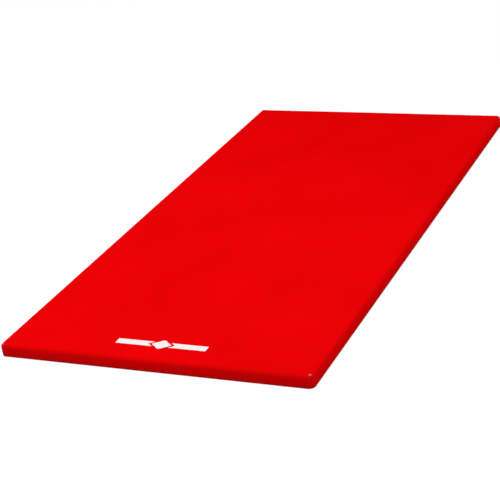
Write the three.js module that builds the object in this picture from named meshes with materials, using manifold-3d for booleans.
// Gymnastics floor mat: one foam slab in a coated-fabric cover that zips shut along one short end.
// Millimetres, +Z up. The origin is the middle of the mat's footprint, on the floor.
// +Y runs the long way, towards the end with the zip; the printed mark is near the other end.
import * as THREE from "three";
import { mergeVertices } from "three/addons/utils/BufferGeometryUtils.js";
import Module from "manifold-3d";

const wasm = await Module();
wasm.setup();

// ---------------------------------------------------------------- driving sizes

// The mat
const matLength = 2000;
const matWidth = 1000;
const matThickness = 40;
const rolledEdgeRadius = 13; // where the cover rolls from the top down to the sides
const cornerEase = 5; // the upright corners are this much rounder than the rolled edge

// Fabric, foam and the room between them
const coverWall = 0.8;
const baseWall = 1.2;
const cornerStripWall = 0.8;
const cornerStripReach = 22; // along each side of a corner, from the mat's outer face
const fitGap = 0.3; // between pieces that touch

// Zip
const zipEndMargin = 40; // from the mat's side to the end of the zip's slot
const tapeWall = 0.6;
const tapeWidth = 12;
const tapeTail = 10; // tape tucked in past each end of the slot
const coilWidth = 3;
const coilHeight = 2.2;
const chainGap = 1.6; // between the two halves, where the slider's web runs
const stopLength = 4;
const stopHeight = 2.6;
const patchOverlap = 6; // of the slot, at each end
const patchReach = 20; // past the end of the slot
const patchWall = 0.8;
const patchRound = 6;

// Slider and pull tab
const slideGap = 0.4; // running clearance round the chain and the tapes
const wingWall = 1.3;
const sliderLength = 17;
const flangeWidth = 1.8;
const slotClearance = 2; // from the slider to the fabric above and below it
const webLength = 6;
const bailLength = 11;
const bailWidth = 2.4;
const bailWall = 1.2;
const bailPost = 2.2;
const pinRadius = 0.8;
const pinClearance = 0.4;
const tabLength = 30;
const tabWidth = 9;
const tabWall = 1.4;
const tabRound = 3;
const tabWindowSlack = 2.5; // from the bail's end to the end of the tab's window

// Printed mark: a lozenge between two bars
const markLength = 290;
const markHeight = 50;
const markFromEnd = 89; // from the mat's plain short end to the mark's middle
const lozengeStretch = 1.25; // its length over its height
const markBarHeight = 26;
const markSpacing = 12; // between the lozenge and each bar
const inkWall = 0.2;
const inkLift = 0.05;

// How finely round shapes are faceted, per quarter turn
const edgeSteps = 6;
const cornerSteps = 6;
const pinSides = 16;

// ---------------------------------------------------------------- places worked out from them

const cornerRadius = rolledEdgeRadius + cornerEase;
const coverFloor = baseWall + fitGap; // the skirt's lower rim
const endFace = matLength / 2; // the outer face of the zipped end

const tapeFloor = baseWall + fitGap; // the lower tape's lower edge
const zipHeight = tapeFloor + tapeWidth + chainGap / 2; // the zip's middle line
const tapeOuter = endFace - coverWall - fitGap; // where the skirt is straight
const tapeInner = tapeOuter - tapeWall;
const coilInner = tapeOuter + fitGap;
const coilOuter = coilInner + coilHeight;

const chainHalfWidth = chainGap / 2 + coilWidth;
const sliderWidth = 2 * (chainHalfWidth + slideGap + flangeWidth);
const slotWidth = sliderWidth + 2 * slotClearance;
const slotHalfLength = matWidth / 2 - zipEndMargin;
const stopEnd = slotHalfLength - patchOverlap - fitGap;
const chainHalfLength = stopEnd - stopLength - fitGap;
const sliderStart = -(chainHalfLength - slideGap - sliderLength / 2); // the zip is shut at -X

const wingInner = tapeInner - slideGap - wingWall;
const wingOuter = coilOuter + slideGap + wingWall;
const pinLine = wingOuter + pinRadius + pinClearance; // the hinge axis of the pull tab

const foamSideInset = coverWall + fitGap + cornerStripWall + fitGap;
const foamZipEnd = Math.min(wingInner - slideGap, endFace - foamSideInset);

// ---------------------------------------------------------------- solids

// A closed geometry as a solid that can be joined and cut.
function solid(geometry) {
  const bare = geometry.clone();
  bare.deleteAttribute("normal");
  bare.deleteAttribute("uv");
  const merged = mergeVertices(bare, 1e-4);
  const mesh = new wasm.Mesh({
    numProp: 3,
    vertProperties: new Float32Array(merged.attributes.position.array),
    triVerts: new Uint32Array(merged.index.array),
  });
  return new wasm.Manifold(mesh);
}

function geometryOf(made) {
  const mesh = made.getMesh();
  const geometry = new THREE.BufferGeometry();
  geometry.setAttribute("position", new THREE.BufferAttribute(mesh.vertProperties, 3));
  geometry.setIndex(new THREE.BufferAttribute(mesh.triVerts, 1));
  geometry.computeVertexNormals();
  return geometry;
}

const joined = (...geometries) => geometries.map(solid).reduce((a, b) => a.add(b));

// A box between two corners, given in any order.
function box([x0, y0, z0], [x1, y1, z1]) {
  const geometry = new THREE.BoxGeometry(Math.abs(x1 - x0), Math.abs(y1 - y0), Math.abs(z1 - z0));
  geometry.translate((x0 + x1) / 2, (y0 + y1) / 2, (z0 + z1) / 2);
  return geometry;
}

// A rectangle with round corners, centred on the origin.
function roundedRectangle(halfX, halfY, radius) {
  const shape = new THREE.Shape();
  const quarter = Math.PI / 2;
  const x = halfX - radius;
  const y = halfY - radius;
  shape.absarc(x, y, radius, 0, quarter);
  shape.absarc(-x, y, radius, quarter, 2 * quarter);
  shape.absarc(-x, -y, radius, 2 * quarter, 3 * quarter);
  shape.absarc(x, -y, radius, 3 * quarter, 4 * quarter);
  return shape;
}

// A straight-sided plate of an outline, from one height to another.
function plate(shape, bottom, top) {
  const geometry = new THREE.ExtrudeGeometry(shape, {
    depth: top - bottom,
    bevelEnabled: false,
    curveSegments: cornerSteps,
  });
  return geometry.translate(0, 0, bottom);
}

// The mat's outline with its rolled top edge, inset on each side, and cut off flat at the bottom.
function rolledSlab({ front, back, sides, top, bottom }) {
  const edge = rolledEdgeRadius - top;
  const halfX = matWidth / 2 - sides - edge;
  const halfY = (matLength - front - back) / 2 - edge;
  const geometry = new THREE.ExtrudeGeometry(roundedRectangle(halfX, halfY, cornerEase), {
    depth: matThickness,
    bevelEnabled: true,
    bevelThickness: edge,
    bevelSize: edge,
    bevelSegments: edgeSteps,
    curveSegments: cornerSteps,
  });
  geometry.translate(0, (front - back) / 2, -edge - top);
  const below = box([-matWidth, -matLength, -2 * matThickness], [matWidth, matLength, bottom]);
  return solid(geometry).subtract(solid(below));
}

const evenSlab = (inset, bottom) =>
  rolledSlab({ front: inset, back: inset, sides: inset, top: inset, bottom });

// ---------------------------------------------------------------- materials

const material = (color, roughness, metalness = 0) =>
  new THREE.MeshStandardMaterial({ color, roughness, metalness });

const coverFabric = material("#e30613", 0.55);
const baseFabric = material("#2b2b2e", 0.85);
const foam = material("#5f6f86", 0.95);
const tapeFabric = material("#a80a14", 0.8);
const coilPlastic = material("#8c0d14", 0.45);
const zipMetal = material("#b9babd", 0.35, 1);
const ink = material("#f5f5f2", 0.5);

const mat = new THREE.Group();

function add(name, shape, finish, place = [0, 0, 0], turnX = 0) {
  const geometry = shape.isBufferGeometry ? shape : geometryOf(shape);
  const mesh = new THREE.Mesh(geometry, finish);
  mesh.name = name;
  mesh.position.set(...place);
  mesh.rotation.x = turnX;
  mat.add(mesh);
}

// ---------------------------------------------------------------- foam core

const core = rolledSlab({
  front: foamSideInset,
  back: endFace - foamZipEnd,
  sides: foamSideInset,
  top: coverWall + fitGap,
  bottom: baseWall + fitGap,
});
add("foam_core", core, foam);

// ---------------------------------------------------------------- cover

// One sheet makes the top and its four skirts. The skirt at the zipped end is cut away below the zip.
const slotTop = zipHeight + slotWidth / 2;
const slotFloor = zipHeight - slotWidth / 2;
const sheet = evenSlab(0, coverFloor).subtract(evenSlab(coverWall, -1));
const zipCut = box(
  [-slotHalfLength, endFace - cornerRadius, -1],
  [slotHalfLength, endFace + 1, slotTop],
);
add("top_cover", sheet.subtract(solid(zipCut)), coverFabric);

const footprint = roundedRectangle(matWidth / 2, matLength / 2, cornerRadius);
add("base_panel", plate(footprint, 0, baseWall), baseFabric);

// The strip of cover fabric between the base and the zip's lower tape.
add(
  "zip_strip",
  box(
    [-slotHalfLength + fitGap, endFace - coverWall, coverFloor],
    [slotHalfLength - fitGap, endFace, slotFloor],
  ),
  coverFabric,
);

// Inside each corner a welded strip joins the two skirts.
const stripOuter = coverWall + fitGap;
const stripInner = stripOuter + cornerStripWall;
const stripFloor = baseWall + fitGap;
const stripTop = matThickness - rolledEdgeRadius;
const insetOutline = (inset) =>
  roundedRectangle(matWidth / 2 - inset, matLength / 2 - inset, cornerRadius - inset);
const stripRing = solid(plate(insetOutline(stripOuter), stripFloor, stripTop)).subtract(
  solid(plate(insetOutline(stripInner), 0, matThickness)),
);
for (const [endName, endSide] of [["front", -1], ["back", 1]]) {
  for (const [sideName, side] of [["left", -1], ["right", 1]]) {
    const cornerX = (side * matWidth) / 2;
    const cornerY = (endSide * matLength) / 2;
    const cornerBlock = box(
      [cornerX - cornerStripReach, cornerY - cornerStripReach, 0],
      [cornerX + cornerStripReach, cornerY + cornerStripReach, matThickness],
    );
    const strip = stripRing.intersect(solid(cornerBlock));
    add(`corner_strip_${endName}_${sideName}`, strip, coverFabric);
  }
}

// ---------------------------------------------------------------- zip

// The tapes lie against the inside of the skirts and follow them where they roll over.
const tapeHalfLength = slotHalfLength + tapeTail;
const tapeSheet = evenSlab(endFace - tapeOuter, -1).subtract(evenSlab(endFace - tapeInner, -1));
for (const [name, side] of [["upper", 1], ["lower", -1]]) {
  const innerEdge = zipHeight + (side * chainGap) / 2;
  const outerEdge = innerEdge + side * tapeWidth;
  const tapeZone = box(
    [-tapeHalfLength, endFace - rolledEdgeRadius, innerEdge],
    [tapeHalfLength, endFace, outerEdge],
  );
  add(`zip_tape_${name}`, tapeSheet.intersect(solid(tapeZone)), tapeFabric);

  const coil = box(
    [-chainHalfLength, coilInner, innerEdge],
    [chainHalfLength, coilOuter, innerEdge + side * coilWidth],
  );
  add(`zip_coil_${name}`, coil, coilPlastic);
}

// At each end: a metal stop across both halves, and a patch of cover fabric over the end of the slot.
for (const [end, patchName, side] of [["closed_end", "left", -1], ["open_end", "right", 1]]) {
  const stopMiddle = side * (stopEnd - stopLength / 2);
  add(
    `zip_stop_${end}`,
    box(
      [stopMiddle - stopLength / 2, coilInner, zipHeight - chainHalfWidth],
      [stopMiddle + stopLength / 2, coilInner + stopHeight, zipHeight + chainHalfWidth],
    ),
    zipMetal,
  );

  const patchFloor = coverFloor + fitGap;
  const patchTop = matThickness - rolledEdgeRadius - fitGap;
  const patchHalfHeight = (patchTop - patchFloor) / 2;
  const patchHalfLength = (patchOverlap + patchReach) / 2;
  const patchMiddle = side * (slotHalfLength - patchOverlap + patchHalfLength);
  add(
    `zip_patch_${patchName}`,
    plate(roundedRectangle(patchHalfLength, patchHalfHeight, patchRound), 0, patchWall),
    coverFabric,
    [patchMiddle, endFace + fitGap + patchWall, (patchFloor + patchTop) / 2],
    Math.PI / 2,
  );
}

// ---------------------------------------------------------------- slider

// Two wings clasp the chain and the tapes. A web between the chain's halves joins them, flanges on
// the outer wing guide the coils, and a bail on its face holds the pull tab's pin.
const halfSlider = sliderLength / 2;
const halfSliderWidth = sliderWidth / 2;
const webHalf = chainGap / 2 - slideGap;
const innerWing = box(
  [-halfSlider, wingInner, -halfSliderWidth],
  [halfSlider, wingInner + wingWall, halfSliderWidth],
);
const outerWing = box(
  [-halfSlider, wingOuter - wingWall, -halfSliderWidth],
  [halfSlider, wingOuter, halfSliderWidth],
);
const web = box(
  [-halfSlider, wingInner, -webHalf],
  [-halfSlider + webLength, wingOuter, webHalf],
);
const flangeFoot = tapeOuter + slideGap;
const flanges = [-1, 1].map((side) =>
  box(
    [-halfSlider, flangeFoot, side * (halfSliderWidth - flangeWidth)],
    [halfSlider, wingOuter, side * halfSliderWidth],
  ),
);
const bailTop = wingOuter + 2 * (pinRadius + pinClearance) + bailWall;
const bail = box(
  [-bailLength / 2, wingOuter - wingWall, -bailWidth / 2],
  [bailLength / 2, bailTop, bailWidth / 2],
);
const underBail = box(
  [-bailLength / 2 + bailPost, wingOuter, -bailWidth],
  [bailLength / 2 - bailPost, bailTop - bailWall, bailWidth],
);
const slider = joined(innerWing, outerWing, web, ...flanges, bail).subtract(solid(underBail));
add("zip_slider", slider, zipMetal, [sliderStart, 0, zipHeight]);

// ---------------------------------------------------------------- pull tab

// A flat tab with a window that straddles the bail. Its round pin lies under the bail and is the
// hinge: shut flat, the tab points along +X over the chain, and it swings out and over to -X.
const windowHalf = bailWidth / 2 + pinClearance;
const windowEnd = bailLength / 2 + tabWindowSlack;
const blank = plate(
  roundedRectangle(tabLength / 2, tabWidth / 2, tabRound),
  -tabWall / 2,
  tabWall / 2,
).translate(tabLength / 2, 0, 0);
// The blank's round corners stop short of the pin, so square arms reach back to it.
const arms = box([0, -tabWidth / 2, -tabWall / 2], [tabRound, tabWidth / 2, tabWall / 2]);
const tabWindow = box(
  [-tabLength, -windowHalf, -tabWall],
  [windowEnd, windowHalf, tabWall],
);
const pin = new THREE.CylinderGeometry(pinRadius, pinRadius, tabWidth, pinSides);
const tab = joined(blank, arms).subtract(solid(tabWindow)).add(solid(pin));
add("zip_pull_tab", tab, zipMetal, [sliderStart, pinLine, zipHeight], Math.PI / 2);

// ---------------------------------------------------------------- printed mark

// Thin films of ink on the top: a lozenge, and a bar each side with an end cut to match it.
const lozengeHalfLength = (markHeight * lozengeStretch) / 2;
const inkFloor = matThickness + inkLift;
const markMiddle = -matLength / 2 + markFromEnd;
const inkFilm = (points) =>
  plate(
    new THREE.Shape(points.map(([x, y]) => new THREE.Vector2(x, y))),
    inkFloor,
    inkFloor + inkWall,
  ).translate(0, markMiddle, 0);
add(
  "mark_lozenge",
  inkFilm([
    [lozengeHalfLength, 0],
    [0, markHeight / 2],
    [-lozengeHalfLength, 0],
    [0, -markHeight / 2],
  ]),
  ink,
);
const barHalf = markBarHeight / 2;
const barTip = lozengeHalfLength + markSpacing;
const barNotch = barTip - barHalf * lozengeStretch;
const barOutline = [
  [markLength / 2, -barHalf],
  [markLength / 2, barHalf],
  [barNotch, barHalf],
  [barTip, 0],
  [barNotch, -barHalf],
];
add("mark_bar_right", inkFilm(barOutline), ink);
add("mark_bar_left", inkFilm(barOutline.map(([x, y]) => [-x, y]).reverse()), ink);

export default mat;
